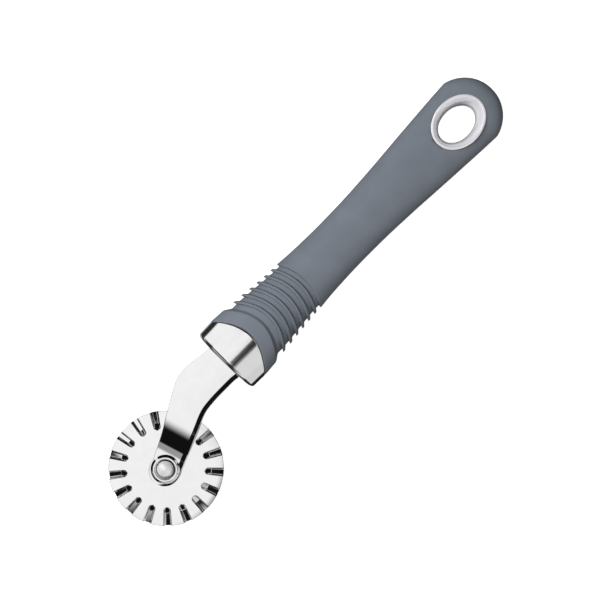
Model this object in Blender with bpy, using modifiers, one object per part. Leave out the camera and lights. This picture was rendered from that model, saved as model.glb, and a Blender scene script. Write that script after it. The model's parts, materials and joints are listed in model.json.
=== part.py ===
"""Pastry cutter wheel: a fluted steel wheel on a swan-necked steel arm, with a
polished ferrule, a ribbed soft grip over a hard core, and a lined hanging hole.

The tool is drawn in millimetres in its own frame first: x = 0 at the ferrule's
front face and growing towards the wheel, y to the side the arm swans to, z up
from the handle's middle plane. place() moves it so that the whole object's box
is centred on x = 0 and y = 0 and stands on z = 0.
"""
import math

import bmesh
import bpy
from mathutils import Vector

MM = 0.001
OBJECT = "pastry_cutter_wheel"

# Wheel and hub, mm
WHEEL_X = 42.25
WHEEL_Y = 11.55
WHEEL_R = 20.6
WHEEL_T = 1.0
FLUTES = 17
FLUTE_PHASE = math.radians(3.55)
FLUTE_DEPTH = 2.2
FLUTE_FLOOR = 0.6
FLUTE_BACK_WIDER = 0.4
FLUTE_IN_R = 13.9
FLUTE_RAMP = 2.3
RAMP_SHARE = 0.84
FLUTE_IN_HALF = 1.3
FLUTE_RIM_HALF = 1.5
EDGE_T = 0.45
BORE_R = 1.8
SHANK_R = 1.7
GAP = 0.3
WASHER_T = 0.6
THRUST_T = 0.5

# Arm, mm
ARM_T = 2.0
ARM_END_R = 5.4
ARM_HEADING = math.radians(20.0)
STEP_HEADING = math.radians(16.0)
STEP_FOOT_D = 8.1
FACET_RUN = 1.6
FACET_SLOPE = 0.165
STEP_RUN = 2.0
STEP_SLOPE = 0.3
STEP_EASE = 6.8
FACET_RISE = FACET_RUN * FACET_SLOPE
PAD_Z = -FACET_RISE - STEP_SLOPE * (STEP_RUN + STEP_EASE / 2.0)
WHEEL_TOP = PAD_Z - ARM_T / 2.0 - GAP - THRUST_T - GAP
MARGIN_W = 1.8
MARGIN_DROP = 0.33
LEFT_EASE = 0.08
TANG_HALF = 5.0
TANG_LEN = 58.0
TANG_HOLES = (22.0, 44.0)
TANG_HOLE_R = 2.2

# Handle, mm behind the ferrule's front face
FERRULE_HALF_W = 13.5
FERRULE_HALF_H = 10.6
FERRULE_WALL = 0.8
FERRULE_ARCH = 0.0387
FERRULE_REAR = 13.45
SIDE_END = 124.8
TAIL_X = 121.4
TAIL_R = 13.76
TAIL_FROM = math.degrees(math.asin((SIDE_END - TAIL_X) / TAIL_R))
HOLE_X = 117.6
RING_HALF_L = 10.75
RING_HALF_W = 8.65
RING_RIM = 1.2
RING_MID_HALF_L = 7.7
RING_MID_HALF_W = 5.5
RING_TOP = 7.6
AROUND = 36

# Whole object
X_FRONT = WHEEL_X + WHEEL_R
X_TAIL = -(TAIL_X + TAIL_R)
Y_MAX = WHEEL_Y + WHEEL_R
Y_MIN = -FERRULE_HALF_W
SHIFT = Vector((-(X_FRONT + X_TAIL) / 2.0, -(Y_MAX + Y_MIN) / 2.0, FERRULE_HALF_H))


def place(x, y, z):
    """Tool millimetres to world metres."""
    return (Vector((x, y, z)) + SHIFT) * MM


def clear():
    for item in list(bpy.data.objects):
        bpy.data.objects.remove(item, do_unlink=True)
    for item in list(bpy.data.meshes):
        bpy.data.meshes.remove(item)
    for item in list(bpy.data.collections):
        bpy.data.collections.remove(item)


def collection(name):
    made = bpy.data.collections.new(name)
    bpy.context.scene.collection.children.link(made)
    return made


def material(name, colour, metal, rough):
    made = bpy.data.materials.new(name)
    made.use_nodes = True
    shader = made.node_tree.nodes["Principled BSDF"]
    shader.inputs["Base Color"].default_value = (*colour, 1.0)
    shader.inputs["Metallic"].default_value = metal
    shader.inputs["Roughness"].default_value = rough
    return made


def add(name, verts, faces, group, at=(0.0, 0.0, 0.0), paint=None, smooth=True):
    """A mesh object from millimetre points, its origin at a world place."""
    mesh = bpy.data.meshes.new(name)
    mesh.from_pydata(verts, [], faces)
    mesh.update()
    shape = bmesh.new()
    shape.from_mesh(mesh)
    bmesh.ops.remove_doubles(shape, verts=shape.verts, dist=0.00001)
    bmesh.ops.recalc_face_normals(shape, faces=shape.faces)
    shape.to_mesh(mesh)
    shape.free()
    if smooth:
        mesh.shade_smooth()
    made = bpy.data.objects.new(name, mesh)
    made.location = at
    if paint is not None:
        mesh.materials.append(paint)
    group.objects.link(made)
    return made


def ring_faces(first, second, count):
    return [(first + i, first + (i + 1) % count, second + (i + 1) % count, second + i)
            for i in range(count)]


def loft(name, rings, group, paint=None):
    """Skin closed rings of equal count; both ends are closed with a flat fan."""
    count = len(rings[0])
    verts = [p for ring in rings for p in ring]
    faces = []
    for k in range(len(rings) - 1):
        faces += ring_faces(k * count, (k + 1) * count, count)
    for k, flip in ((0, True), (len(rings) - 1, False)):
        middle = sum(rings[k], Vector()) / count
        verts.append(middle)
        hub = len(verts) - 1
        for i in range(count):
            a = k * count + i
            b = k * count + (i + 1) % count
            faces.append((hub, b, a) if flip else (hub, a, b))
    return add(name, verts, faces, group, paint=paint)


def turned(name, profile, group, paint, steps=36):
    """Turn a closed or axis-to-axis profile of (radius, z) about the wheel's axle."""
    points = [Vector((r, 0.0, z)) * MM for r, z in profile]
    closed = profile[0][0] > 0.0
    edges = [(i, i + 1) for i in range(len(points) - 1)]
    if closed:
        edges.append((len(points) - 1, 0))
    mesh = bpy.data.meshes.new(name)
    mesh.from_pydata(points, edges, [])
    mesh.materials.append(paint)
    made = bpy.data.objects.new(name, mesh)
    made.location = place(WHEEL_X, WHEEL_Y, 0.0)
    group.objects.link(made)
    screw = made.modifiers.new("turn", "SCREW")
    screw.axis = "Z"
    screw.angle = math.tau
    screw.steps = steps
    screw.render_steps = steps
    screw.use_merge_vertices = True
    screw.merge_threshold = 0.00001
    screw.use_smooth_shade = True
    return made


def cut(target, cutter):
    boolean = target.modifiers.new("cut " + cutter.name, "BOOLEAN")
    boolean.operation = "DIFFERENCE"
    boolean.solver = "EXACT"
    boolean.object = cutter


def solid_from(name, group, shape):
    """A cutter object from a finished bmesh."""
    mesh = bpy.data.meshes.new(name)
    shape.to_mesh(mesh)
    shape.free()
    made = bpy.data.objects.new(name, mesh)
    group.objects.link(made)
    return made


def block(name, low, high, group):
    """A box cutter between two tool-frame corners."""
    start = place(*low)
    end = place(*high)
    size = end - start
    shape = bmesh.new()
    bmesh.ops.create_cube(shape, size=1.0)
    bmesh.ops.scale(shape, vec=size, verts=shape.verts)
    bmesh.ops.translate(shape, vec=(start + end) / 2.0, verts=shape.verts)
    return solid_from(name, group, shape)


def column(name, x, y, half_l, half_w, low, high, group, steps=32):
    """An upright round or oval cutter."""
    shape = bmesh.new()
    bmesh.ops.create_cone(shape, cap_ends=True, segments=steps, radius1=half_l * MM,
                          radius2=half_l * MM, depth=(high - low) * MM)
    bmesh.ops.scale(shape, vec=(1.0, half_w / half_l, 1.0), verts=shape.verts)
    bmesh.ops.translate(shape, vec=place(x, y, (low + high) / 2.0), verts=shape.verts)
    return solid_from(name, group, shape)


# ---------------------------------------------------------------- handle lofts

def section(back, arch, half_w, half_h, power=2.3):
    """One ring across the handle. It arches: its sides lie nearer the wheel."""
    ring = []
    for i in range(AROUND):
        a = math.tau * i / AROUND
        c = math.cos(a)
        s = math.sin(a)
        y = half_w * math.copysign(abs(c) ** (2.0 / power), c)
        z = half_h * math.copysign(abs(s) ** (2.0 / power), s)
        ring.append(place(-(back - arch * y * y), y, z))
    return ring


def between(table, at):
    """Straight-line interpolation in a table of (position, value)."""
    if at <= table[0][0]:
        return table[0][1]
    for (p, v), (q, w) in zip(table, table[1:]):
        if at <= q:
            return v + (w - v) * (at - p) / (q - p)
    return table[-1][1]


BODY_W = ((41.0, 10.93), (44.0, 10.58), (50.0, 10.2), (57.0, 9.97), (64.0, 9.98),
          (71.0, 10.13), (78.0, 10.46), (86.0, 10.93), (94.0, 11.5), (102.0, 12.05),
          (110.0, 12.55), (118.0, 13.03), (SIDE_END, 13.33))
BODY_H = ((41.0, 9.2), (50.0, 8.9), (64.0, 8.75), (78.0, 8.5), (94.0, 8.05),
          (110.0, 7.5), (118.0, 7.3), (SIDE_END, 7.2))
RIBS = ((22.7, 0.0346, 12.5), (25.75, 0.0305, 12.2), (28.8, 0.029, 11.85),
        (31.85, 0.0284, 11.55), (34.95, 0.0278, 11.25), (38.0, 0.0269, 11.02))
RIB_HALF = 0.65
RIB_TALL = 1.15
RIB_H_RATIO = 0.84


def grip_outer():
    """Rings of the grip's outside: collar, six ribs, body, rounded tail."""
    rings = [
        (FERRULE_REAR + GAP, FERRULE_ARCH, FERRULE_HALF_W - 0.35, FERRULE_HALF_H - 0.3, 2.3),
        (FERRULE_REAR + GAP + 0.5, FERRULE_ARCH, FERRULE_HALF_W - 0.05, FERRULE_HALF_H - 0.02, 2.3),
        (18.9, 0.0365, 12.95, 10.45, 2.3),
        (19.5, 0.036, 12.55, 10.15, 2.3),
    ]
    for back, arch, tip in RIBS:
        valley = tip - RIB_TALL
        tip_h = tip * RIB_H_RATIO
        valley_h = tip_h - RIB_TALL
        rings.append((back - RIB_HALF - 0.35, arch, valley, valley_h, 2.3))
        rings.append((back - RIB_HALF, arch, tip - 0.25, tip_h - 0.25, 2.3))
        rings.append((back - 0.3, arch, tip, tip_h, 2.3))
        rings.append((back + 0.3, arch, tip, tip_h, 2.3))
        rings.append((back + RIB_HALF, arch, tip - 0.25, tip_h - 0.25, 2.3))
        rings.append((back + RIB_HALF + 0.25, arch, valley, valley_h, 2.3))
    rings.append((40.3, 0.0263, 9.75, 8.2, 2.3))
    rings.append((40.65, 0.0263, 10.6, 9.0, 2.3))
    for back, arch in ((41.1, 0.0263), (44.0, 0.022), (50.0, 0.014), (57.0, 0.006),
                       (64.0, 0.0), (71.0, 0.0), (78.0, 0.0), (86.0, 0.0), (94.0, 0.0),
                       (102.0, 0.0), (110.0, 0.0), (118.0, 0.0)):
        power = 2.3 + 0.4 * max(0.0, (back - 60.0) / 60.0)
        rings.append((back, arch, between(BODY_W, back), between(BODY_H, back), power))
    rings += tail(TAIL_R, between(BODY_H, SIDE_END), 2.7)
    return [section(*ring) for ring in rings]


def tail(radius, half_h, power):
    """Round end, seen from above, with a full edge all the way round."""
    rings = []
    for degrees in (TAIL_FROM, 25.0, 37.0, 49.0, 60.0, 70.0, 78.0, 85.0):
        a = math.radians(degrees)
        across = radius * math.cos(a)
        height = half_h * (1.0 - math.sin(a) ** 5) ** 0.4
        rings.append((TAIL_X + radius * math.sin(a), 0.0, across, height, power))
    return rings


def grip_inner(loose):
    """Rings of the grip's bore, or of the core when loose is the gap."""
    rings = [
        (FERRULE_REAR + GAP + loose, FERRULE_ARCH, 11.2 - loose, 8.6 - loose, 2.3),
        (19.0, 0.036, 10.7 - loose, 8.2 - loose, 2.3),
        (22.7, 0.0346, 9.9 - loose, 7.7 - loose, 2.3),
        (31.85, 0.0284, 9.0 - loose, 7.2 - loose, 2.3),
        (40.0, 0.024, 8.3 - loose, 6.8 - loose, 2.3),
    ]
    for back, arch in ((50.0, 0.012), (60.0, 0.0), (74.0, 0.0), (88.0, 0.0), (102.0, 0.0),
                       (114.0, 0.0)):
        width = between(BODY_W, back) - 2.0 - loose
        height = between(BODY_H, back) - 2.0 - loose
        rings.append((back, arch, width, height, 2.5))
    rings += tail(TAIL_R - 2.0 - loose, between(BODY_H, SIDE_END) - 2.0 - loose, 2.7)
    return [section(*ring) for ring in rings]


def make_grip(parts, cutters):
    outside = list(reversed(grip_outer()))
    paint = material("soft grip rubber", (0.15, 0.165, 0.19), 0.0, 0.55)
    grip = loft("soft_grip", outside + grip_inner(0.0), parts, paint)
    hole = column("hanging hole cutter", -HOLE_X, 0.0, RING_HALF_L + GAP, RING_HALF_W + GAP,
                  -14.0, 14.0, cutters, 48)
    cut(grip, hole)
    return hole


def make_core(parts, cutters, hole):
    front = [section(1.2 + GAP, 0.0, 12.0, 9.2), section(FERRULE_REAR, FERRULE_ARCH, 12.0, 9.2),
             section(FERRULE_REAR + 0.05, FERRULE_ARCH, 10.9, 8.3)]
    paint = material("core plastic", (0.25, 0.25, 0.26), 0.0, 0.5)
    core = loft("handle_core", front + grip_inner(GAP), parts, paint)
    slot = block("tang slot cutter", (-(TANG_LEN + GAP), -(TANG_HALF + GAP), -(ARM_T / 2 + GAP)),
                 (2.0, TANG_HALF + GAP, ARM_T / 2 + GAP), cutters)
    for k, back in enumerate(TANG_HOLES):
        peg = column("peg %d cutter" % (k + 1), -back, 0.0, TANG_HOLE_R - GAP,
                     TANG_HOLE_R - GAP, -4.0, 4.0, cutters, 20)
        cut(slot, peg)
    mouth = block("tang mouth cutter", (-4.6, -8.1, -(ARM_T / 2 + GAP)),
                  (2.0, 8.1, ARM_T / 2 + GAP), cutters)
    cut(core, slot)
    cut(core, mouth)
    cut(core, hole)


def make_ferrule(parts, cutters):
    w = FERRULE_HALF_W
    h = FERRULE_HALF_H
    t = FERRULE_WALL
    rings = [
        (0.0, 0.0, w - 1.15, h - 1.15),
        (0.12, 0.0, w - 0.7, h - 0.7),
        (0.5, 0.0, w - 0.32, h - 0.32),
        (1.2, 0.0, w - 0.15, h - 0.15),
        (4.0, 0.004, w - 0.05, h - 0.05),
        (FERRULE_REAR, FERRULE_ARCH, w, h),
        (FERRULE_REAR, FERRULE_ARCH, w - t, h - t),
        (4.0, 0.004, w - t - 0.05, h - t - 0.05),
        (1.2, 0.0, w - t - 0.3, h - t - 0.3),
    ]
    paint = material("ferrule steel", (0.75, 0.75, 0.76), 1.0, 0.12)
    ferrule = loft("ferrule", [section(*ring) for ring in rings], parts, paint)
    mouth = block("ferrule slot cutter", (-3.0, -7.8, -(ARM_T / 2 + GAP)),
                  (2.0, 7.8, ARM_T / 2 + GAP), cutters)
    cut(ferrule, mouth)


# ------------------------------------------------------------------------ arm

ARM_LEFT = ((-3.6, -7.5), (0.0, -7.5), (5.0, -7.9), (10.0, -8.6), (13.0, -8.7), (16.0, -8.1),
            (19.3, -6.6), (22.2, -5.0), (24.5, -3.7), (28.0, -1.7), (32.3, 0.85), (36.5, 3.0))
ARM_RIGHT = ((-3.6, 7.5), (0.0, 7.5), (3.0, 7.2), (7.0, 7.15), (11.0, 7.15), (14.6, 7.35),
             (17.2, 7.7), (19.7, 8.45), (23.3, 9.95), (26.6, 11.3), (30.4, 12.8), (33.8, 14.1))


def arm_lift(x, y):
    """Height of the arm's middle surface over the handle's plane."""
    left = (WHEEL_X - x) * math.cos(STEP_HEADING) + (WHEEL_Y - y) * math.sin(STEP_HEADING)
    over = left - STEP_FOOT_D
    if over <= 0.0:
        return PAD_Z + max(0.0, over + FACET_RUN) * FACET_SLOPE
    foot = PAD_Z + FACET_RISE
    if over <= STEP_RUN:
        return foot + over * STEP_SLOPE
    part = min(1.0, (over - STEP_RUN) / STEP_EASE)
    return foot + STEP_SLOPE * (STEP_RUN + STEP_EASE * (part - part * part / 2.0))


def hub_edge(turn):
    """A point on the arm's round end, turned from the arm's heading."""
    a = ARM_HEADING + turn
    return (WHEEL_X + ARM_END_R * math.cos(a), WHEEL_Y + ARM_END_R * math.sin(a))


def arm_station(left, right, drop):
    """Six points across the strip: bottom, eased left edge, flat front, sloped right margin."""
    lx, ly = left
    rx, ry = right
    width = math.hypot(rx - lx, ry - ly)
    e = min(0.42, LEFT_EASE / width)
    f = min(0.42, MARGIN_W / width)
    out = []
    for x, y, low in ((lx, ly, -ARM_T / 2), (lx, ly, ARM_T / 2 - LEFT_EASE),
                      (lx + (rx - lx) * e, ly + (ry - ly) * e, ARM_T / 2),
                      (rx - (rx - lx) * f, ry - (ry - ly) * f, ARM_T / 2),
                      (rx, ry, ARM_T / 2 - drop), (rx, ry, -ARM_T / 2)):
        out.append(place(x, y, arm_lift(x, y) + low))
    return out


def make_arm(parts, cutters):
    stations = [arm_station((-TANG_LEN, -TANG_HALF + 2.0), (-TANG_LEN, TANG_HALF - 2.0), 0.02),
                arm_station((-TANG_LEN + 2.0, -TANG_HALF), (-TANG_LEN + 2.0, TANG_HALF), 0.02),
                arm_station((-4.4, -TANG_HALF), (-4.4, TANG_HALF), 0.02)]
    for k, (left, right) in enumerate(zip(ARM_LEFT, ARM_RIGHT)):
        drop = MARGIN_DROP if k > 1 else 0.02
        stations.append(arm_station(left, right, drop))
    for turn in (110.0, 90.0, 70.0, 50.0, 32.0, 16.0, 5.0):
        a = math.radians(turn)
        stations.append(arm_station(hub_edge(-a), hub_edge(a), MARGIN_DROP))
    paint = material("arm steel", (0.75, 0.75, 0.76), 1.0, 0.15)
    arm = loft("wheel_arm", stations, parts, paint)
    bore = column("arm bore cutter", WHEEL_X, WHEEL_Y, BORE_R, BORE_R, -6.0, 2.0, cutters, 36)
    cut(arm, bore)
    for k, back in enumerate(TANG_HOLES):
        hole = column("tang hole %d cutter" % (k + 1), -back, 0.0, TANG_HOLE_R, TANG_HOLE_R,
                      -3.0, 3.0, cutters, 20)
        cut(arm, hole)


# ---------------------------------------------------------------------- wheel

def wheel_ring(radius, depth, half, low):
    """One ring of the wheel, sunk in the flutes by depth; low is how far under the front."""
    ring = []
    for k in range(FLUTES):
        middle = FLUTE_PHASE + math.tau * k / FLUTES
        edge = half / radius
        rest = math.tau / FLUTES / 2.0 - edge
        for turn, sunk in ((-edge, 0.0), (-FLUTE_FLOOR * edge, depth), (FLUTE_FLOOR * edge, depth),
                           (edge, 0.0), (edge + 0.66 * rest, 0.0), (edge + 1.34 * rest, 0.0)):
            a = middle + turn
            z = WHEEL_TOP + SHIFT.z - low - sunk
            ring.append(Vector((radius * math.cos(a), radius * math.sin(a), z)) * MM)
    return ring


def make_wheel(parts):
    plan = ((BORE_R, 0.0, 0.22), (6.0, 0.0, 0.5), (FLUTE_IN_R - 0.9, 0.0, 0.9),
            (FLUTE_IN_R, 0.0, 1.0), (FLUTE_IN_R + FLUTE_RAMP, FLUTE_DEPTH * RAMP_SHARE, FLUTE_IN_HALF),
            (WHEEL_R - 0.7, FLUTE_DEPTH, FLUTE_RIM_HALF))
    inset = (WHEEL_T - EDGE_T) / 2.0
    front = [wheel_ring(r, d, half, 0.0) for r, d, half in plan]
    front.append(wheel_ring(WHEEL_R, FLUTE_DEPTH, FLUTE_RIM_HALF, inset))
    wider = FLUTE_BACK_WIDER
    back = [wheel_ring(r, d, half + (wider if d > 0.0 else 0.0), WHEEL_T) for r, d, half in plan]
    back.append(wheel_ring(WHEEL_R, FLUTE_DEPTH, FLUTE_RIM_HALF + wider, WHEEL_T - inset))
    rings = front + list(reversed(back))
    count = len(rings[0])
    verts = [p for ring in rings for p in ring]
    faces = []
    for k in range(len(rings)):
        faces += ring_faces(k * count, ((k + 1) % len(rings)) * count, count)
    paint = material("wheel steel", (0.78, 0.78, 0.79), 1.0, 0.1)
    axle = place(WHEEL_X, WHEEL_Y, 0.0)
    add("cutter_wheel", verts, faces, parts, (axle.x, axle.y, 0.0), paint)


def make_hub(parts):
    steel = material("rivet steel", (0.7, 0.7, 0.71), 1.0, 0.18)
    washer = material("washer steel", (0.72, 0.72, 0.73), 1.0, 0.2)
    spacer = material("spacer washer nylon", (0.8, 0.8, 0.78), 0.0, 0.4)
    rear = material("back washer steel", (0.7, 0.7, 0.71), 1.0, 0.25)
    top = PAD_Z + ARM_T / 2.0 + GAP
    turned("head_washer", ((4.65, top + 1.35), (4.9, top + 1.2), (5.5, top), (BORE_R, top),
                           (BORE_R, top + 0.5), (3.1, top + 0.5), (3.65, top + 1.35)),
           parts, washer)
    seat = top + 0.5 + GAP
    flat = WHEEL_TOP - WHEEL_T
    tail_top = flat - GAP - WASHER_T - GAP
    turned("axle_rivet", ((0.0, seat + 1.55), (0.9, seat + 1.45), (1.8, seat + 1.15),
                          (2.45, seat + 0.65), (2.75, seat), (SHANK_R, seat),
                          (SHANK_R, tail_top), (2.9, tail_top), (2.7, tail_top - 0.6),
                          (1.9, tail_top - 1.0), (0.0, tail_top - 1.1)), parts, steel)
    low = WHEEL_TOP + GAP
    high = PAD_Z - ARM_T / 2.0 - GAP
    turned("thrust_washer", ((4.6, high), (4.6, low), (BORE_R, low), (BORE_R, high)),
           parts, spacer)
    turned("back_washer", ((4.8, flat - GAP), (5.0, flat - GAP - 0.15),
                           (5.0, flat - GAP - WASHER_T), (BORE_R, flat - GAP - WASHER_T),
                           (BORE_R, flat - GAP)), parts, rear)


# --------------------------------------------------------------- hanging ring

def oval(half_l, half_w, z, steps=48):
    return [place(-HOLE_X + half_l * math.cos(math.tau * i / steps),
                  half_w * math.sin(math.tau * i / steps), z) for i in range(steps)]


def make_ring(name, side, parts, colour):
    """Half of the hole's lining; side is 1 for the front and -1 for the back."""
    l = RING_HALF_L
    w = RING_HALF_W
    r = RING_RIM
    rings = [
        oval(l, w, side * GAP / 2.0),
        oval(l, w, side * (RING_TOP - 0.3)),
        oval(l - 0.25, w - 0.25, side * RING_TOP),
        oval(l - r, w - r, side * RING_TOP),
        oval(l - r - 0.5, w - r - 0.5, side * (RING_TOP - 0.5)),
        oval((l - r - 0.5 + RING_MID_HALF_L) / 2.0, (w - r - 0.5 + RING_MID_HALF_W) / 2.0,
             side * RING_TOP * 0.5),
        oval(RING_MID_HALF_L, RING_MID_HALF_W, side * GAP / 2.0),
    ]
    count = len(rings[0])
    verts = [p for ring in rings for p in ring]
    faces = []
    for k in range(len(rings)):
        faces += ring_faces(k * count, ((k + 1) % len(rings)) * count, count)
    paint = material(name + " metal", colour, 1.0, 0.15)
    add(name, verts, faces, parts, paint=paint)


def main():
    clear()
    parts = collection(OBJECT)
    cutters = collection(OBJECT + " cutters")
    make_wheel(parts)
    make_hub(parts)
    make_arm(parts, cutters)
    make_ferrule(parts, cutters)
    hole = make_grip(parts, cutters)
    make_core(parts, cutters, hole)
    make_ring("hang_ring_front", 1, parts, (0.75, 0.75, 0.76))
    make_ring("hang_ring_back", -1, parts, (0.73, 0.73, 0.74))
    for item in cutters.objects:
        item.hide_render = True
        item.display_type = "WIRE"


main()
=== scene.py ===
"""Looks of the pastry cutter wheel: polished steel, soft-touch rubber, studio light.

Sizes are in millimetres in the tool's own frame: x = 0 at the ferrule's front face
and growing towards the wheel, y to the side the arm swans to, z up from the handle's
middle plane. tool() turns them into the frame's metres.
"""
import math

import bmesh
import bpy
import numpy as np
from mathutils import Matrix, Vector
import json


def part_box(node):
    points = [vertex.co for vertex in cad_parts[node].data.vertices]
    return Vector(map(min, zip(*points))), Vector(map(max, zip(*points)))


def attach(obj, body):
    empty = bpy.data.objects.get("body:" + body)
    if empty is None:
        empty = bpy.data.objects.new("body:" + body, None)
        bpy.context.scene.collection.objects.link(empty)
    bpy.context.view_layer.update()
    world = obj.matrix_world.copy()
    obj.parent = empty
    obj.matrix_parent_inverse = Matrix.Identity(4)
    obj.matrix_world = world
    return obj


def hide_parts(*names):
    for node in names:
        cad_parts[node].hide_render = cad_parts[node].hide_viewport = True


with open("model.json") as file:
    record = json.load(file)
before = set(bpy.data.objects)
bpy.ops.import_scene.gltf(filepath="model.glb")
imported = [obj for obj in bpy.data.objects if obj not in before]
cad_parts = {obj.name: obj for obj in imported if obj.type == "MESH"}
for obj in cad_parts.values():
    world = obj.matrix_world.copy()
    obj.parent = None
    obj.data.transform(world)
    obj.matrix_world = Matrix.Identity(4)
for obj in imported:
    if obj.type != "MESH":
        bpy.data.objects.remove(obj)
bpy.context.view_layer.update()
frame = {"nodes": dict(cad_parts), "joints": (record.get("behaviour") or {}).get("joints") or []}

MM = 0.001
WELD = 0.000001
AXIS_R = 0.004
FERRULE_LOW, FERRULE_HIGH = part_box("ferrule")
RING_LOW, RING_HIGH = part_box("hang_ring_front")
GRIP_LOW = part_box("soft_grip")[0]
WHEEL_LOW, WHEEL_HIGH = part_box("cutter_wheel")
ORIGIN = Vector((FERRULE_HIGH[0], (FERRULE_LOW[1] + FERRULE_HIGH[1]) / 2.0,
                 (FERRULE_LOW[2] + FERRULE_HIGH[2]) / 2.0))
AXLE = Vector(frame["joints"][0]["pos_m"]) - ORIGIN
WHEEL_X = AXLE.x / MM
WHEEL_Y = AXLE.y / MM
WHEEL_R = (WHEEL_HIGH[0] - WHEEL_LOW[0]) / MM / 2.0
WHEEL_FRONT = (WHEEL_HIGH[2] - ORIGIN.z) / MM
FERRULE_W = (FERRULE_HIGH[1] - FERRULE_LOW[1]) / MM / 2.0
FERRULE_H = (FERRULE_HIGH[2] - FERRULE_LOW[2]) / MM / 2.0
HOLE_X = (ORIGIN.x - (RING_LOW[0] + RING_HIGH[0]) / 2.0) / MM
RING_L = (RING_HIGH[0] - RING_LOW[0]) / MM / 2.0
RING_W = (RING_HIGH[1] - RING_LOW[1]) / MM / 2.0
RING_TOP = (RING_HIGH[2] - ORIGIN.z) / MM
TAIL_END = (ORIGIN.x - GRIP_LOW[0]) / MM

# Handle, mm behind the ferrule's front face. An arch is how far a section's sides lie
# nearer the wheel, in mm for each square mm of distance from its middle.
FERRULE_ARCH = 0.0387
FERRULE_REAR = 13.45
NOSE_R = 1.3
FERRULE_TAPER = 0.13
FERRULE_EDGE = 0.12
NOSE_TURNS = range(0, 91, 9)
FERRULE_SIDE_STEPS = 24
FERRULE_FACE = (9.0, 5.0, 2.4, 1.6)
FERRULE_LIP = ((0.0, 0.02), (0.06, 0.05), (0.1, 0.12), (0.1, 0.8), (-2.0, 0.8))
SLOT_HALF = 7.8
SLOT_TALL = 1.2
SLOT_DEEP = 2.9
SLOT_PAST = 2.0
SIDE_END = 124.8
TAIL_X = 121.4
TAIL_R = TAIL_END - TAIL_X
TAIL_FROM = math.degrees(math.asin((SIDE_END - TAIL_X) / TAIL_R))
AROUND = 160
SECTION_POWER = 2.3
TAIL_POWER = 2.7
SQUARER_FROM = 60.0
SQUARER_RUN = 60.0
GRIP_GAP = 0.06
GRIP_LIP = ((0.0, 0.9), (0.0, 0.3), (0.06, 0.12), (0.2, 0.03), (0.45, 0.0))
COLLAR_FROM = 14.0
COLLAR_RUN = 5.0
COLLAR_NARROWS = 0.42
COLLAR_LOWERS = 0.12
COLLAR_ARCH_LOSS = 0.002
NECK_FROM = 18.7
NECK_RUN = 1.2
NECK_ARCH = 0.0365
NECK_ARCH_LOSS = 0.0015
NECK_W = FERRULE_W - 0.4
NECK_H = FERRULE_H - 0.11
BODY_W = ((41.0, 10.93), (44.0, 10.58), (50.0, 10.2), (57.0, 9.97), (64.0, 9.98),
          (71.0, 10.13), (78.0, 10.46), (86.0, 10.93), (94.0, 11.5), (102.0, 12.05),
          (110.0, 12.55), (118.0, 13.03), (SIDE_END, 13.33))
BODY_H = ((41.0, 9.2), (50.0, 8.9), (64.0, 8.75), (78.0, 8.5), (94.0, 8.05),
          (110.0, 7.5), (118.0, 7.3), (SIDE_END, 7.2))
BODY_ARCH = ((41.0, 0.0263), (44.0, 0.022), (50.0, 0.014), (57.0, 0.006), (64.0, 0.0),
             (130.0, 0.0))
RIBS = ((22.7, 0.0346, 12.5), (25.75, 0.0305, 12.2), (28.8, 0.029, 11.85),
        (31.85, 0.0284, 11.55), (34.95, 0.0278, 11.25), (38.0, 0.0269, 11.02))
RIB_FLAT = 0.4
RIB_FLANK = 0.42
RIB_TALL = 1.15
RIB_H_RATIO = 0.84
RIBS_FROM = 21.2
RIBS_END = 39.6
RIB_SPACING = 0.085
NECK_SPACING = 0.12
COLLAR_SPACING = 0.4
SHOULDER_FROM = 40.0
SHOULDER_RUN = 0.65
BODY_FROM = 41.3
BODY_EASES = 50.0
TAIL_RINGS = 34
TAIL_LAST = 88.0
TAIL_BLUNT = 5

# Lining of the hanging hole, mm
RIM_HALF = 0.6
RIM_DROP = 0.3
RIM_FOOT = 0.35
RIM_TURNS = range(0, 181, 15)
RING_SPLIT = 0.1
BOWL = ((0.5, 1.45), (1.0, 1.85), (1.7, 2.2), (2.7, 2.55), (4.2, 2.85), (RING_TOP - 0.1, 3.05))
BOWL_SQUEEZE = 1.03
GRIP_CUT = 14.0

# Arm, mm
ARM_T = 2.0
ARM_END_R = 5.7
ARM_END_PAST = 0.45
ARM_HEADING = math.radians(20.0)
STEP_HEADING = math.radians(16.0)
STEP_FOOT = 8.25
FACET_RUN = 3.0
FACET_SLOPE = 0.12
STEP_RUN = 0.9
STEP_EASE = 9.0
STEP_SLOPE = 0.3
FACET_RISE = FACET_RUN * FACET_SLOPE
PAD_Z = -FACET_RISE - STEP_SLOPE * (STEP_RUN + STEP_EASE / 2.0)
MARGIN_W = 1.8
MARGIN_DROP = 0.18
LEFT_EASE = 0.08
MARGIN_PARTS = (0.05, 0.12, 0.35, 0.65, 0.93)
CREASE = 0.03
EDGE_FOOT = ((0.0, 0.12), (0.02, 0.04))
EDGE_SHARE = 0.46
END_TURNS = np.linspace(108.0, 3.0, 46)
SIDE_POINTS = 90
ARM_LEFT = ((-3.0, -7.5), (0.0, -7.5), (5.0, -7.9), (10.0, -8.6), (13.0, -8.7), (16.0, -8.1),
            (19.3, -6.6), (22.2, -5.0), (24.5, -3.7), (28.0, -1.7), (32.3, 0.85), (36.5, 3.0))
ARM_RIGHT = ((-3.0, 7.5), (0.0, 7.5), (3.0, 7.2), (7.0, 7.15), (11.0, 7.15), (14.6, 7.35),
             (17.2, 7.7), (19.7, 8.45), (23.3, 9.95), (26.6, 11.3), (30.4, 12.8), (33.8, 14.1))

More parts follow.
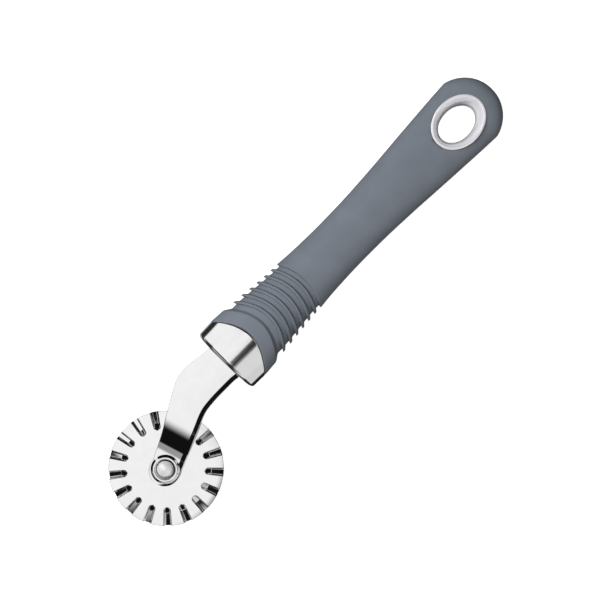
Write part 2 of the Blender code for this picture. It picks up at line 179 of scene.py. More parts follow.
# Wheel, mm
FLUTES = 17
FLUTE_PHASE = math.radians(3.55)
FLUTE_TIP_R = 13.9
FLUTE_IN_HALF = 1.25
FLUTE_RIM_HALF = 1.5
FLUTE_BACK_WIDER = 0.4
RAMP_SLOPE = 0.8
RAMP_LEN = 2.3
FLOOR_SLOPE = 0.09
WALL_RUN = 0.5
LAND_FROM = 16.0
LAND_CURVE = 0.0037
LAND_PARTS = (0.06, 0.2, 0.5, 0.8)
FLOOR_LEAST = 0.25
FLOOR_STEPS = 3
WALL_STEPS = 8
TIP_LEAST = 0.3
WHEEL_T = 1.0
BORE_R = 1.8
PLAIN_RADII = [BORE_R, 3.0, 5.0, 8.0, 11.0, 12.8]
TIP_RADII = np.arange(13.3, 16.4, 0.11)
OUTER_RADII = np.arange(16.5, WHEEL_R - 0.25, 0.35)
FRONT_RIM = ((0.12, 0.0), (0.03, 0.0), (0.0, 0.04), (0.0, 0.12))
BACK_RIM = ((0.2, 0.12), (0.02, 0.35), (0.0, 0.42))

# Rivet and washers, mm. Outlines are (radius, height over the piece's seat), and a round
# is its centre's radius and height, its own radius, and where it starts and ends.
WASHER_SIDE = ((BORE_R, 0.02), (5.2, 0.02), (5.2, 0.1), (5.17, 0.16), (4.6, 1.15), (4.55, 1.23))
WASHER_ROUNDS = ((4.25, 1.2, 0.3, 30.0, 90.0), (3.85, 1.3, 0.2, 90.0, 135.0))
WASHER_INSIDE = ((3.62, 1.2), (3.45, 0.5), (BORE_R, 0.5))
SEAT = 0.55
SHANK_R = 1.7
DOME_R = 2.8
DOME_TALL = 1.3
DOME_BASE = 0.15
DOME_END = 62.0
DOME_STEPS = 12
HEAD_SKIRT = ((2.52, 0.7), (2.6, 0.6), (2.95, 0.12), (3.0, 0.04))
HEAD_UNDER = 2.98
REAR_R = 2.9
REAR_GAP = 0.95
REAR_FLAT = 0.4
REAR_ROUND = 2.45
REAR_SIDE = 0.15
REAR_TALL = 0.8
REAR_STEPS = 8
AXLE_GAP = 0.05
SPACER_R = 4.5
SPACER_ROUND = 0.1
BACK_R = 4.9
BACK_ROUND = 0.2
BACK_T = 0.7


def tool(x, y, z):
    """Tool millimetres to the frame's metres."""
    return ORIGIN + Vector((x, y, z)) * MM


# ------------------------------------------------------------------ mesh tools

def mesh_object(name, verts, faces, paint, body="handle"):
    """One smooth piece from points and faces, riding on a body."""
    mesh = bpy.data.meshes.new(name)
    mesh.from_pydata([tuple(v) for v in verts], [], faces)
    mesh.update()
    shape = bmesh.new()
    shape.from_mesh(mesh)
    bmesh.ops.remove_doubles(shape, verts=shape.verts, dist=WELD)
    bmesh.ops.recalc_face_normals(shape, faces=shape.faces)
    shape.to_mesh(mesh)
    shape.free()
    mesh.shade_smooth()
    mesh.materials.append(paint)
    made = bpy.data.objects.new(name, mesh)
    bpy.context.scene.collection.objects.link(made)
    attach(made, body)
    return made


def skin(name, rings, paint, body="handle", loop=False):
    """Skin closed rings of equal count. loop joins the last ring to the first."""
    count = len(rings[0])
    verts = [p for ring in rings for p in ring]
    faces = []
    last = len(rings) if loop else len(rings) - 1
    for k in range(last):
        a = k * count
        b = ((k + 1) % len(rings)) * count
        faces += [(a + i, a + (i + 1) % count, b + (i + 1) % count, b + i) for i in range(count)]
    if not loop:
        faces.append(tuple(reversed(range(count))))
        faces.append(tuple(range(len(verts) - count, len(verts))))
    return mesh_object(name, verts, faces, paint, body)


def turned(name, profile, paint, body="handle", steps=128):
    """Turn a profile of (radius, z) about the axle. It ends on the axis or closes."""
    closed = profile[0][0] > 0.0
    rings = []
    for r, z in profile:
        radius = max(r, AXIS_R)
        rings.append([tool(WHEEL_X + radius * math.cos(math.tau * i / steps),
                           WHEEL_Y + radius * math.sin(math.tau * i / steps), z)
                      for i in range(steps)])
    return skin(name, rings, paint, body, loop=closed)


def smooth(table, at):
    """A smooth curve through a table of (position, value)."""
    xs = np.array([p for p, _ in table])
    ys = np.array([v for _, v in table])
    slopes = np.gradient(ys, xs)
    at = min(max(at, xs[0]), xs[-1])
    k = min(max(int(np.searchsorted(xs, at)) - 1, 0), len(xs) - 2)
    h = xs[k + 1] - xs[k]
    t = (at - xs[k]) / h
    a = (1 + 2 * t) * (1 - t) ** 2
    b = t * (1 - t) ** 2
    c = t * t * (3 - 2 * t)
    d = t * t * (t - 1)
    return float(a * ys[k] + b * h * slopes[k] + c * ys[k + 1] + d * h * slopes[k + 1])


def ease(value):
    """A soft start and end for a value between 0 and 1."""
    value = min(max(value, 0.0), 1.0)
    return value * value * (3.0 - 2.0 * value)


def section(back, arch, half_w, half_h, power=SECTION_POWER):
    """One ring across the handle, an oval that gets squarer with its power."""
    ring = []
    for i in range(AROUND):
        a = math.tau * i / AROUND
        c = math.cos(a)
        s = math.sin(a)
        y = half_w * math.copysign(abs(c) ** (2.0 / power), c)
        z = half_h * math.copysign(abs(s) ** (2.0 / power), s)
        ring.append(tool(-(back - arch * y * y), y, z))
    return ring


# ------------------------------------------------------------------- materials

SMOOTHEST = 0.02


def new_material(name):
    """A node material: itself, its nodes, its links and its shader."""
    made = bpy.data.materials.new(name)
    made.use_nodes = True
    nodes = made.node_tree.nodes
    return made, nodes, made.node_tree.links, nodes["Principled BSDF"]


def texture(nodes, links, kind, scale, detail=2.0, stretch=(1.0, 1.0, 1.0)):
    """A noise or cell texture in object coordinates, in features per metre."""
    place = nodes.new("ShaderNodeTexCoord")
    shift = nodes.new("ShaderNodeMapping")
    shift.inputs["Scale"].default_value = stretch
    links.new(place.outputs["Object"], shift.inputs["Vector"])
    made = nodes.new(kind)
    made.inputs["Scale"].default_value = scale
    if "Detail" in made.inputs:
        made.inputs["Detail"].default_value = detail
    links.new(shift.outputs["Vector"], made.inputs["Vector"])
    return made


def ramp(nodes, links, source, low, high, start=0.3, end=0.7):
    """A colour between low and high, by how strong the source is."""
    made = nodes.new("ShaderNodeValToRGB")
    made.color_ramp.elements[0].position = start
    made.color_ramp.elements[0].color = (*low, 1.0)
    made.color_ramp.elements[1].position = end
    made.color_ramp.elements[1].color = (*high, 1.0)
    links.new(source, made.inputs["Fac"])
    return made.outputs["Color"]


def bump(nodes, links, source, strength, distance, before=None):
    """A bumped normal, on top of the bump before it if there is one."""
    made = nodes.new("ShaderNodeBump")
    made.inputs["Strength"].default_value = strength
    made.inputs["Distance"].default_value = distance
    links.new(source, made.inputs["Height"])
    if before is not None:
        links.new(before, made.inputs["Normal"])
    return made.outputs["Normal"]


def steel(name, colour, rough, wobble=0.02, wave=0.000004, metal=1.0):
    """Polished stainless steel: slight haze, hairline polish marks, long soft waves."""
    made, nodes, links, shader = new_material(name)
    shader.inputs["Metallic"].default_value = metal
    haze = texture(nodes, links, "ShaderNodeTexNoise", scale=260.0, detail=4.0)
    hair = texture(nodes, links, "ShaderNodeTexNoise", scale=900.0, detail=3.0,
                   stretch=(0.25, 3.0, 1.0))
    duller = [c * 0.965 for c in colour]
    links.new(ramp(nodes, links, haze.outputs["Fac"], duller, colour),
              shader.inputs["Base Color"])
    low = (max(rough - wobble, SMOOTHEST),) * 3
    high = (rough + wobble,) * 3
    links.new(ramp(nodes, links, hair.outputs["Fac"], low, high), shader.inputs["Roughness"])
    swell = texture(nodes, links, "ShaderNodeTexNoise", scale=70.0, detail=1.0)
    first = bump(nodes, links, swell.outputs["Fac"], strength=0.35, distance=wave * 10.0)
    marks = bump(nodes, links, hair.outputs["Fac"], strength=0.10, distance=wave, before=first)
    links.new(marks, shader.inputs["Normal"])
    return made


def rubber(name, colour):
    """Soft-touch rubber: fine moulded grain, faint mottling, a soft broad sheen."""
    made, nodes, links, shader = new_material(name)
    shader.inputs["Metallic"].default_value = 0.0
    shader.inputs["Specular IOR Level"].default_value = 0.5
    mottle = texture(nodes, links, "ShaderNodeTexNoise", scale=140.0, detail=5.0)
    darker = [c * 0.94 for c in colour]
    lighter = [c * 1.05 for c in colour]
    links.new(ramp(nodes, links, mottle.outputs["Fac"], darker, lighter),
              shader.inputs["Base Color"])
    grain = texture(nodes, links, "ShaderNodeTexNoise", scale=4200.0, detail=3.0)
    links.new(ramp(nodes, links, grain.outputs["Fac"], (0.5,) * 3, (0.62,) * 3),
              shader.inputs["Roughness"])
    pits = texture(nodes, links, "ShaderNodeTexVoronoi", scale=2600.0)
    first = bump(nodes, links, pits.outputs["Distance"], strength=0.12, distance=0.00004)
    skin_grain = bump(nodes, links, grain.outputs["Fac"], strength=0.25, distance=0.00003,
                      before=first)
    links.new(skin_grain, shader.inputs["Normal"])
    return made


def plastic(name, colour, rough):
    """Plain moulded plastic with a fine grain."""
    made, nodes, links, shader = new_material(name)
    grain = texture(nodes, links, "ShaderNodeTexNoise", scale=1800.0, detail=3.0)
    darker = [c * 0.9 for c in colour]
    links.new(ramp(nodes, links, grain.outputs["Fac"], darker, colour),
              shader.inputs["Base Color"])
    links.new(ramp(nodes, links, grain.outputs["Fac"], (rough,) * 3, (rough + 0.1,) * 3),
              shader.inputs["Roughness"])
    links.new(bump(nodes, links, grain.outputs["Fac"], strength=0.2, distance=0.00003),
              shader.inputs["Normal"])
    return made


# ---------------------------------------------------------------------- handle

def rib_height(back):
    """How far a rib stands above the valley here, 0 to 1, with rounded shoulders."""
    off = min(abs(back - middle) for middle, _, _ in RIBS)
    return 1.0 - ease((off - RIB_FLAT) / RIB_FLANK)


def collar_rings():
    """The grip's front lip, its smooth collar and the fall to the ribs."""
    edge = FERRULE_REAR + GRIP_GAP
    rings = [section(edge + off, FERRULE_ARCH, FERRULE_W - inset, FERRULE_H - inset)
             for off, inset in GRIP_LIP]
    for back in np.arange(COLLAR_FROM + 0.5, NECK_FROM, COLLAR_SPACING):
        part = (back - COLLAR_FROM) / COLLAR_RUN
        rings.append(section(back, FERRULE_ARCH - COLLAR_ARCH_LOSS * part,
                             FERRULE_W - COLLAR_NARROWS * part,
                             FERRULE_H - COLLAR_LOWERS * part))
    valley_w = RIBS[0][2] - RIB_TALL
    valley_h = RIBS[0][2] * RIB_H_RATIO - RIB_TALL
    for back in np.arange(NECK_FROM, RIBS_FROM, NECK_SPACING):
        part = ease((back - NECK_FROM) / NECK_RUN)
        rings.append(section(back, NECK_ARCH - NECK_ARCH_LOSS * part,
                             NECK_W + (valley_w - NECK_W) * part,
                             NECK_H + (valley_h - NECK_H) * part))
    return rings


def rib_rings():
    """The ribs and the shoulder behind the last one."""
    tips = [(middle, tip) for middle, _, tip in RIBS]
    arches = [(middle, arch) for middle, arch, _ in RIBS]
    last, last_arch, last_tip = RIBS[-1]
    rings = []
    for back in np.arange(RIBS_FROM, RIBS_END, RIB_SPACING):
        tip = smooth(tips, back) if back < last else last_tip
        arch = smooth(arches, back) if back < last else last_arch
        low = RIB_TALL * (1.0 - rib_height(back))
        rings.append(section(back, arch, tip - low, tip * RIB_H_RATIO - low))
    valley_w = last_tip - RIB_TALL
    valley_h = last_tip * RIB_H_RATIO - RIB_TALL
    for back in np.arange(RIBS_END + 0.05, BODY_W[0][0] + 0.2, RIB_SPACING):
        part = ease((back - SHOULDER_FROM) / SHOULDER_RUN)
        rings.append(section(back, BODY_ARCH[0][1], valley_w + (BODY_W[0][1] - valley_w) * part,
                             valley_h + (BODY_H[0][1] - valley_h) * part))
    return rings


def body_rings():
    """The plain waisted body and its rounded tail."""
    rings = []
    places = (np.arange(BODY_FROM, BODY_EASES, 0.6), np.arange(BODY_EASES, SIDE_END, 1.4))
    for back in np.concatenate(places):
        squarer = max(0.0, (back - SQUARER_FROM) / SQUARER_RUN)
        rings.append(section(back, smooth(BODY_ARCH, back), smooth(BODY_W, back),
                             smooth(BODY_H, back),
                             SECTION_POWER + (TAIL_POWER - SECTION_POWER) * squarer))
    for degrees in np.linspace(TAIL_FROM, TAIL_LAST, TAIL_RINGS):
        a = math.radians(degrees)
        height = BODY_H[-1][1] * (1.0 - math.sin(a) ** TAIL_BLUNT) ** 0.4
        rings.append(section(TAIL_X + TAIL_R * math.sin(a), 0.0, TAIL_R * math.cos(a),
                             height, TAIL_POWER))
    return rings


def oval(half_l, half_w, z, steps=144):
    """A ring round the hanging hole at a height."""
    return [tool(-HOLE_X + half_l * math.cos(math.tau * i / steps),
                 half_w * math.sin(math.tau * i / steps), z) for i in range(steps)]


def carve(piece, rings, paint):
    """Cut the closed skin over some rings out of a piece."""
    cutter = skin(piece.name + "_cutter", rings, paint)
    cut = piece.modifiers.new("cut", "BOOLEAN")
    cut.operation = "DIFFERENCE"
    cut.solver = "EXACT"
    cut.object = cutter
    bpy.context.view_layer.update()
    carved = bpy.data.meshes.new_from_object(piece.evaluated_get(
        bpy.context.evaluated_depsgraph_get()))
    piece.modifiers.clear()
    piece.data = carved
    bpy.data.objects.remove(cutter, do_unlink=True)


def make_grip(paint):
    """The soft cover, with the hanging hole cut through it."""
    grip = skin("grip_cover", collar_rings() + rib_rings() + body_rings(), paint)
    carve(grip, [oval(RING_L + GRIP_GAP, RING_W + GRIP_GAP, z) for z in (-GRIP_CUT, GRIP_CUT)],
          paint)
    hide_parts("soft_grip")


def make_ferrule(paint):
    """The steel collar: a rounded nose, an arched rear edge and the arm's slot."""
    rings = [section(0.0, 0.0, FERRULE_W - inset, FERRULE_H - inset) for inset in FERRULE_FACE]
    for degrees in NOSE_TURNS:
        a = math.radians(degrees)
        inset = FERRULE_TAPER + NOSE_R * (1.0 - math.sin(a))
        rings.append(section(NOSE_R * (1.0 - math.cos(a)), 0.0, FERRULE_W - inset,
                             FERRULE_H - inset))
    side = FERRULE_REAR - FERRULE_EDGE
    for step in range(1, FERRULE_SIDE_STEPS + 1):
        part = step / FERRULE_SIDE_STEPS
        inset = FERRULE_TAPER * (1.0 - part) ** 1.2
        rings.append(section(NOSE_R + (side - NOSE_R) * part, FERRULE_ARCH * part ** 1.5,
                             FERRULE_W - inset, FERRULE_H - inset))
    for off, inset in FERRULE_LIP:
        rings.append(section(side + off, FERRULE_ARCH, FERRULE_W - inset, FERRULE_H - inset))
    ferrule = skin("ferrule_shell", rings, paint)
    corners = [(SLOT_HALF, SLOT_TALL), (-SLOT_HALF, SLOT_TALL), (-SLOT_HALF, -SLOT_TALL),
               (SLOT_HALF, -SLOT_TALL)]
    carve(ferrule, [[tool(x, y, z) for y, z in corners] for x in (-SLOT_DEEP, SLOT_PAST)],
          paint)
    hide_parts("ferrule")


def make_ring(name, side, paint):
    """Half of the hole's lining; side is 1 for the front and -1 for the back."""
    rings = [oval(RING_L, RING_W, side * RING_SPLIT),
             oval(RING_L, RING_W, side * (RING_TOP - RIM_FOOT))]
    for degrees in RIM_TURNS:
        a = math.radians(degrees)
        inward = RIM_HALF - RIM_HALF * math.cos(a)
        down = RIM_DROP * (1.0 - math.sin(a))
        rings.append(oval(RING_L - inward, RING_W - inward, side * (RING_TOP - down)))
    for down, inward in BOWL:
        rings.append(oval(RING_L - inward, RING_W - inward * BOWL_SQUEEZE,
                          side * (RING_TOP - down)))
    made = skin(name, rings, paint, loop=True)
    node = "hang_ring_front" if side > 0 else "hang_ring_back"
    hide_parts(node)


# ------------------------------------------------------------------------- arm

def curve_points(points, count):
    """Evenly spaced points on a smooth curve through the given points."""
    pts = np.array(points, dtype=float)
    padded = np.vstack((2 * pts[0] - pts[1], pts, 2 * pts[-1] - pts[-2]))
    fine = []
    for k in range(1, len(padded) - 2):
        p0, p1, p2, p3 = padded[k - 1:k + 3]
        for t in np.linspace(0.0, 1.0, 24, endpoint=False):
            fine.append(0.5 * (2 * p1 + (p2 - p0) * t + (2 * p0 - 5 * p1 + 4 * p2 - p3) * t * t
                               + (3 * p1 - p0 - 3 * p2 + p3) * t ** 3))
    fine.append(pts[-1])
    fine = np.array(fine)
    length = np.concatenate(((0.0,), np.cumsum(np.linalg.norm(np.diff(fine, axis=0), axis=1))))
    want = np.linspace(0.0, length[-1], count)
    return np.stack((np.interp(want, length, fine[:, 0]), np.interp(want, length, fine[:, 1])), 1)


def arm_lift(x, y):
    """How high the strip's middle lies at a place: flat pad, facet, step, then level."""
    away = (WHEEL_X - x) * math.cos(STEP_HEADING) + (WHEEL_Y - y) * math.sin(STEP_HEADING)
    over = away - STEP_FOOT
    if over <= 0.0:
        return PAD_Z + max(0.0, over + FACET_RUN) * FACET_SLOPE
    foot = PAD_Z + FACET_RISE
    if over <= STEP_RUN:
        return foot + over * STEP_SLOPE
    part = min(1.0, (over - STEP_RUN) / STEP_EASE)
    return foot + STEP_SLOPE * (STEP_RUN + STEP_EASE * (part - part * part / 2.0))


def arm_edge(wide, drop):
    """One edge of the strip, from its bottom inwards: (inset mm, height mm)."""
    half = ARM_T / 2.0
    edge = half - drop
    slope = drop / wide
    side = [(0.0, -half)] + [(inset, edge - down) for inset, down in EDGE_FOOT]
    side += [(wide * part, edge + drop * part) for part in MARGIN_PARTS]
    side += [(wide - CREASE, half - slope * CREASE), (wide + CREASE, half),
             (wide + 4.0 * CREASE, half), (wide + 10.0 * CREASE, half)]
    return side


def arm_station(left, right):
    """One ring across the strip between a point on each of its edges."""
    left = np.array(left)
    right = np.array(right)
    across = right - left
    width = float(np.linalg.norm(across))
    unit = across / width
    limit = EDGE_SHARE * width
    left_side = arm_edge(LEFT_EASE, LEFT_EASE)
    right_side = arm_edge(MARGIN_W, MARGIN_DROP)
    points = []
    for inset, high in left_side:
        points.append((left + unit * min(inset, limit), high))
    start = min(left_side[-1][0], limit)
    end = width - min(right_side[-1][0], limit)
    for part in (0.25, 0.5, 0.75):
        points.append((left + unit * (start + (end - start) * part), ARM_T / 2.0))
    for inset, high in reversed(right_side):
        points.append((right - unit * min(inset, limit), high))
    return [tool(p[0], p[1], arm_lift(p[0], p[1]) + z) for p, z in points]


def make_arm(paint):
    """The swan-necked strip, from inside the ferrule to its round end past the rivet."""
    hub_left = []
    hub_right = []
    end_x = WHEEL_X + ARM_END_PAST * math.cos(ARM_HEADING)
    end_y = WHEEL_Y + ARM_END_PAST * math.sin(ARM_HEADING)
    for turn in END_TURNS:
        a = math.radians(turn)
        hub_left.append((end_x + ARM_END_R * math.cos(ARM_HEADING - a),
                         end_y + ARM_END_R * math.sin(ARM_HEADING - a)))
        hub_right.append((end_x + ARM_END_R * math.cos(ARM_HEADING + a),
                          end_y + ARM_END_R * math.sin(ARM_HEADING + a)))
    left = list(curve_points(list(ARM_LEFT) + [hub_left[0]], SIDE_POINTS)) + hub_left[1:]
    right = list(curve_points(list(ARM_RIGHT) + [hub_right[0]], SIDE_POINTS)) + hub_right[1:]
    rings = [arm_station(a, b) for a, b in zip(left, right)]
    arm = skin("arm_strip", rings, paint)
    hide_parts("wheel_arm")


# ----------------------------------------------------------------------- wheel

def flute_half(radius, wider):
    """Half the width of a flute at a radius; its inner end is round."""
    middle = FLUTE_TIP_R + FLUTE_IN_HALF
    if radius >= middle:
        part = (radius - middle) / (WHEEL_R - middle)
        return FLUTE_IN_HALF + (FLUTE_RIM_HALF - FLUTE_IN_HALF) * part + wider
    inner = FLUTE_IN_HALF + wider
    return max(TIP_LEAST, math.sqrt(max(inner ** 2 - (middle - radius) ** 2, 0.0)))


def flute_deep(radius, wider):
    """How deep the floor of a flute lies at a radius: a steep ramp, then a gentle slope."""
    run = max(0.0, radius - (FLUTE_TIP_R - wider))
    return RAMP_SLOPE * min(run, RAMP_LEN) + FLOOR_SLOPE * max(0.0, run - RAMP_LEN)


def wheel_ring(radius, low, wider):
    """One ring of a face of the wheel, low mm under the front's flat, with its flutes."""
    half = flute_half(radius, wider)
    floor = max(FLOOR_LEAST, 1.0 - WALL_RUN / half)
    deep = flute_deep(radius, wider)
    land = LAND_CURVE * max(0.0, radius - LAND_FROM) ** 2
    rest = math.pi / FLUTES - half / radius
    across = [(floor * k / FLOOR_STEPS * half / radius, 1.0) for k in range(FLOOR_STEPS + 1)]
    for k in range(1, WALL_STEPS + 1):
        share = floor + (1.0 - floor) * k / WALL_STEPS
        across.append((share * half / radius, 1.0 - ease(k / WALL_STEPS)))
    across += [(half / radius + rest * part, 0.0) for part in LAND_PARTS]
    turns = [(-turn, sunk) for turn, sunk in reversed(across[1:])] + across
    ring = []
    for k in range(FLUTES):
        for turn, sunk in turns:
            a = FLUTE_PHASE + math.tau * k / FLUTES + turn
            ring.append(tool(WHEEL_X + radius * math.cos(a), WHEEL_Y + radius * math.sin(a),
                             WHEEL_FRONT - low - land - deep * sunk))
    return ring


def make_wheel(paint):
    """The fluted disc: rings outwards on its front, round the rim and back inwards."""
    radii = PLAIN_RADII + list(TIP_RADII) + list(OUTER_RADII)
    front = [wheel_ring(r, 0.0, 0.0) for r in radii]
    back = [wheel_ring(r, WHEEL_T, FLUTE_BACK_WIDER) for r in radii]
    front += [wheel_ring(WHEEL_R - inset, low, 0.0) for inset, low in FRONT_RIM]
    back += [wheel_ring(WHEEL_R - inset, WHEEL_T - high, FLUTE_BACK_WIDER)
             for inset, high in BACK_RIM]
    wheel = skin("fluted_wheel", front + list(reversed(back)), paint, body="wheel", loop=True)
    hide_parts("cutter_wheel")


def arc(r0, z0, radius, start, end, steps=8):
    """Points on a round in a turned profile, angles in degrees from +radius."""
    out = []
    for k in range(steps + 1):
        a = math.radians(start + (end - start) * k / steps)
        out.append((r0 + radius * math.cos(a), z0 + radius * math.sin(a)))
    return out


def raised(outline, base):
    """An outline of (radius, height) with its heights counted from a base."""
    return [(radius, base + height) for radius, height in outline]


def make_head_washer(paint, top):
    """The raised washer on the arm, with a tapered side and a rounded rim."""
    profile = raised(WASHER_SIDE, top)
    for out, up, radius, start, end in WASHER_ROUNDS:
        profile += arc(out, top + up, radius, start, end)
    profile += raised(WASHER_INSIDE, top)
    washer = turned("head_washer_turned", profile, paint)
    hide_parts("head_washer")


def make_rivet(paint, seat):
    """The axle: a domed head with a skirt, a shank and a peened rear head."""
    profile = [(0.0, seat + DOME_BASE + DOME_TALL)]
    for k in range(1, DOME_STEPS + 1):
        a = math.radians(DOME_END * k / DOME_STEPS)
        profile.append((DOME_R * math.sin(a), seat + DOME_BASE + DOME_TALL * math.cos(a)))
    profile += raised(HEAD_SKIRT, seat)
    rear = WHEEL_FRONT - WHEEL_T - REAR_GAP
    profile += [(HEAD_UNDER, seat), (SHANK_R, seat), (SHANK_R, rear), (REAR_R, rear)]
    for k in range(REAR_STEPS + 1):
        a = math.radians(90.0 * k / REAR_STEPS)
        profile.append((REAR_FLAT + REAR_ROUND * math.cos(a),
                        rear - REAR_SIDE - REAR_TALL * math.sin(a)))
    profile.append((0.0, rear - REAR_SIDE - REAR_TALL))
    rivet = turned("axle_rivet_turned", profile, paint)
    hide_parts("axle_rivet")


def make_spacer():
    """The thin nylon washer between the arm and the wheel."""
    low = WHEEL_FRONT + AXLE_GAP
    high = PAD_Z - ARM_T / 2.0 - AXLE_GAP
    edge = SPACER_R - SPACER_ROUND
    profile = [(BORE_R, low), (edge, low)]
    profile += arc(edge, low + SPACER_ROUND, SPACER_ROUND, -90.0, 0.0, 3)
    profile += arc(edge, high - SPACER_ROUND, SPACER_ROUND, 0.0, 90.0, 3)
    profile.append((BORE_R, high))
    spacer = turned("thrust_washer_turned", profile, plastic("nylon", NYLON, rough=0.35))
    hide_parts("thrust_washer")


def make_back_washer(paint):
    """The flat washer behind the wheel."""
    face = WHEEL_FRONT - WHEEL_T - AXLE_GAP
    edge = BACK_R - BACK_ROUND
    profile = [(BORE_R, face), (BORE_R, face - BACK_T), (edge, face - BACK_T)]
    profile += arc(edge, face - BACK_T + BACK_ROUND, BACK_ROUND, -90.0, 0.0, 4)
    profile += arc(edge, face - BACK_ROUND, BACK_ROUND, 0.0, 90.0, 4)
    back = turned("back_washer_turned", profile, paint)
    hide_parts("back_washer")


def make_hub(steel_paint, washer_paint):
    """Everything on the axle but the wheel."""
    top = PAD_Z + ARM_T / 2.0
    make_head_washer(washer_paint, top)
    make_rivet(steel_paint, top + SEAT)
    make_spacer()
    make_back_washer(washer_paint)


# ----------------------------------------------------------- camera and light

# The camera looks straight down, mm. The view's angle turns the tool in the picture.
VIEW_ANGLE = math.radians(45.7)
CAMERA_X = -34.2
CAMERA_Y = 3.8
CAMERA_UP = 600.0
VIEW_WIDTH = 212.766
SENSOR = 36.0


def image_axes():
    """The picture's right and up, in the tool's frame."""
    c = math.cos(VIEW_ANGLE)
    s = math.sin(VIEW_ANGLE)
    right = Vector((-c, s, 0.0))
    up = Vector((-s, -c, 0.0))
    return right, up


def make_camera():
    """The camera that takes the picture, straight above the tool."""
    right, up = image_axes()
    data = bpy.data.cameras.new("camera")
    data.sensor_width = SENSOR
    data.lens = SENSOR * CAMERA_UP / VIEW_WIDTH
    data.clip_start = 0.01
    data.clip_end = 20.0
    camera = bpy.data.objects.new("camera", data)
    bpy.context.scene.collection.objects.link(camera)
    turn = Matrix((right, up, Vector((0.0, 0.0, 1.0)))).transposed()
    camera.matrix_world = Matrix.Translation(tool(CAMERA_X, CAMERA_Y, CAMERA_UP)) @ turn.to_4x4()
    bpy.context.scene.camera = camera


def sky(azimuth, tilt):
    """A direction from an azimuth in the picture, anticlockwise from its right, and a
    tilt from straight up, both in degrees."""
    right, up = image_axes()
    a = math.radians(azimuth)
    t = math.radians(tilt)
    out = right * math.cos(a) + up * math.sin(a)
    return out * math.sin(t) + Vector((0.0, 0.0, math.cos(t)))


# The studio's white cards: azimuth, tilt, step aside, width round the azimuth, height away
# from the top, softness of those two edges, all in degrees, and how bright the card is.
CARDS = (
    (134.0, 19.2, 8.0, 13.0, 41.6, 1.0, 2.0, 1.02),
    (134.0, 3.5, -5.0, 15.0, 10.2, 1.0, 1.0, 1.02),
    (138.0, 63.0, 0.0, 12.0, 60.0, 2.0, 3.0, 1.02),
    (145.0, 92.0, 0.0, 70.0, 10.0, 8.0, 2.0, 0.60),
    (314.0, 45.5, 0.0, 34.0, 51.0, 4.0, 2.0, 0.77),
    (314.0, 87.0, 0.0, 30.0, 70.0, 5.0, 4.0, 0.72),
    (237.0, 8.3, 0.0, 9.0, 20.2, 1.5, 8.0, 1.00),
    (270.0, 12.0, 0.0, 6.0, 4.5, 1.5, 1.5, 0.50),
    (292.0, 19.5, 0.0, 6.0, 5.0, 2.0, 1.5, 0.50),
    (210.0, 65.0, 0.0, 30.0, 18.0, 4.0, 3.0, 0.90),
    (5.0, 57.0, 0.0, 56.0, 18.0, 6.0, 2.0, 0.80),
    (272.0, 62.0, 0.0, 46.0, 24.0, 5.0, 4.0, 0.80),
    (200.0, 152.0, 0.0, 60.0, 50.0, 8.0, 8.0, 0.60),
)
CARD_SHADE = 0.006
FLOOR_GLOW = 0.93
BACKDROP = (0.97, 0.97, 0.97, 1.0)
FLOOR_HALF = 3.0
FLOOR_Z = -0.0002
FLOOR_GREY = (0.5, 0.5, 0.5, 1.0)

# The soft box: azimuth and tilt in degrees, size and distance in metres, power in watts.
FILL = (160.0, 33.0, 0.45, 0.62, 4.7)
FILL_TINT = (1.0, 0.99, 1.0)

# Colours of the finishes
BRIGHT = (0.87, 0.87, 0.872)
SATIN = (0.93, 0.93, 0.96)
RUBBER = (0.15, 0.17, 0.197)
NYLON = (0.72, 0.72, 0.69)
CORE = (0.2, 0.2, 0.21)


def math_node(nodes, links, operation, first, second):
    """A math node on two sockets or numbers."""
    made = nodes.new("ShaderNodeMath")
    made.operation = operation
    for value, socket in ((first, made.inputs[0]), (second, made.inputs[1])):
        if isinstance(value, float):
            socket.default_value = value
        else:
            links.new(value, socket)
    return made.outputs["Value"]


def along(nodes, links, way, axis):
    """The part of a direction along an axis."""
    made = nodes.new("ShaderNodeVectorMath")
    made.operation = "DOT_PRODUCT"
    links.new(way, made.inputs[0])
    made.inputs[1].default_value = axis
    return made.outputs["Value"]


def card_light(nodes, links, way, card):
    """How bright one soft-edged card is in each direction."""
    azimuth, tilt, aside, wide, tall, soft_wide, soft_tall, bright = card
    front = sky(azimuth, tilt)
    side = Vector((0.0, 0.0, 1.0)).cross(sky(azimuth, 90.0)).normalized()
    ahead = along(nodes, links, way, front)
    light = math_node(nodes, links, "GREATER_THAN", ahead, 0.02)
    for axis, shift, span, soft in ((side, aside, wide, soft_wide),
                                    (front.cross(side), 0.0, tall, soft_tall)):
        ratio = math_node(nodes, links, "DIVIDE", along(nodes, links, way, axis), ahead)
        gap = math_node(nodes, links, "SUBTRACT", ratio, math.tan(math.radians(shift)))
        off = math_node(nodes, links, "ABSOLUTE", gap, 0.0)
        edge = nodes.new("ShaderNodeMapRange")
        edge.interpolation_type = "SMOOTHSTEP"
        edge.inputs["From Min"].default_value = math.tan(math.radians(span / 2.0 + soft))
        edge.inputs["From Max"].default_value = math.tan(math.radians(span / 2.0 - soft))
        links.new(off, edge.inputs["Value"])
        light = math_node(nodes, links, "MULTIPLY", light, edge.outputs["Result"])
    return math_node(nodes, links, "MULTIPLY", light, bright)


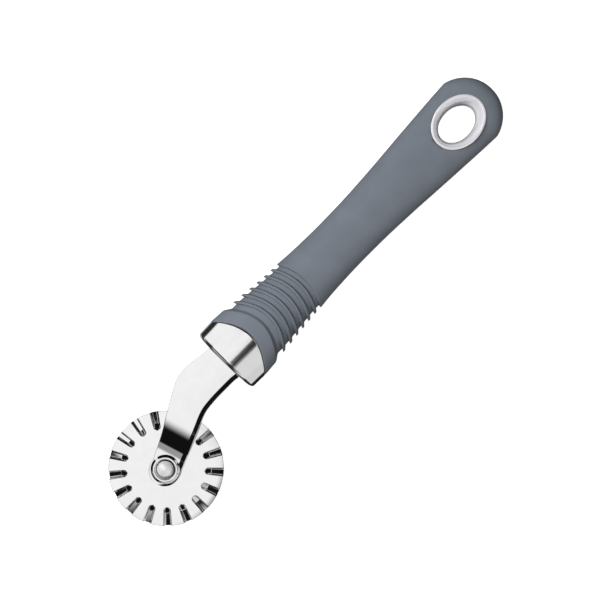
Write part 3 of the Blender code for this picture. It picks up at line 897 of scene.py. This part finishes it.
def make_world():
    """Dark studio with soft white cards for the steel, and a pale backdrop for the eye."""
    world = bpy.data.worlds.new("studio")
    bpy.context.scene.world = world
    world.use_nodes = True
    nodes = world.node_tree.nodes
    links = world.node_tree.links
    way = nodes.new("ShaderNodeTexCoord").outputs["Generated"]
    total = None
    for card in CARDS:
        light = card_light(nodes, links, way, card)
        total = light if total is None else math_node(nodes, links, "MAXIMUM", total, light)
    studio = nodes["Background"]
    studio.inputs["Color"].default_value = (1.0, 1.0, 1.0, 1.0)
    links.new(math_node(nodes, links, "ADD", total, CARD_SHADE), studio.inputs["Strength"])
    pale = nodes.new("ShaderNodeBackground")
    pale.inputs["Color"].default_value = BACKDROP
    path = nodes.new("ShaderNodeLightPath")
    mix = nodes.new("ShaderNodeMixShader")
    links.new(path.outputs["Is Camera Ray"], mix.inputs["Fac"])
    links.new(studio.outputs["Background"], mix.inputs[1])
    links.new(pale.outputs["Background"], mix.inputs[2])
    links.new(mix.outputs["Shader"], nodes["World Output"].inputs["Surface"])


def make_fill():
    """A soft box that lights the rubber and stays out of the steel's reflections."""
    azimuth, tilt, size, distance, power = FILL
    data = bpy.data.lights.new("soft_box", "AREA")
    data.shape = "SQUARE"
    data.size = size
    data.energy = power
    data.color = FILL_TINT
    light = bpy.data.objects.new("soft_box", data)
    bpy.context.scene.collection.objects.link(light)
    way = sky(azimuth, tilt)
    light.matrix_world = (Matrix.Translation(tool(CAMERA_X, 0.0, 0.0) + way * distance)
                          @ way.to_track_quat("Z", "Y").to_matrix().to_4x4())
    light.visible_glossy = False


def make_floor():
    """A plain pale floor just under the tool."""
    shape = bmesh.new()
    bmesh.ops.create_grid(shape, x_segments=1, y_segments=1, size=FLOOR_HALF)
    mesh = bpy.data.meshes.new("floor")
    shape.to_mesh(mesh)
    shape.free()
    floor = bpy.data.objects.new("floor", mesh)
    floor.location = (0.0, 0.0, FLOOR_Z)
    bpy.context.scene.collection.objects.link(floor)
    made, nodes, links, shader = new_material("floor_white")
    shader.inputs["Base Color"].default_value = FLOOR_GREY
    shader.inputs["Roughness"].default_value = 0.9
    shader.inputs["Emission Color"].default_value = (1.0, 1.0, 1.0, 1.0)
    path = nodes.new("ShaderNodeLightPath")
    glow = math_node(nodes, links, "MULTIPLY", path.outputs["Is Camera Ray"], FLOOR_GLOW)
    links.new(glow, shader.inputs["Emission Strength"])
    mesh.materials.append(made)
    floor.visible_glossy = False


def main():
    """Makes the camera, the lights, the floor and every piece."""
    scene = bpy.context.scene
    scene.view_settings.view_transform = "Standard"
    make_camera()
    make_fill()
    make_world()
    make_floor()
    make_wheel(steel("wheel_polish", BRIGHT, rough=0.05))
    make_hub(steel("rivet_peened", BRIGHT, rough=0.34, metal=0.4),
             steel("washer_polish", BRIGHT, rough=0.08))
    make_arm(steel("arm_polish", BRIGHT, rough=0.05))
    make_ferrule(steel("ferrule_polish", BRIGHT, rough=0.10, metal=0.98))
    make_grip(rubber("soft_touch", RUBBER))
    ring_paint = steel("ring_satin", SATIN, rough=0.25, metal=0.4)
    make_ring("ring_front_shell", 1, ring_paint)
    make_ring("ring_back_shell", -1, ring_paint)
    core = frame["nodes"]["handle_core"]
    core.material_slots[0].material = plastic("core_moulding", CORE, rough=0.45)


main()
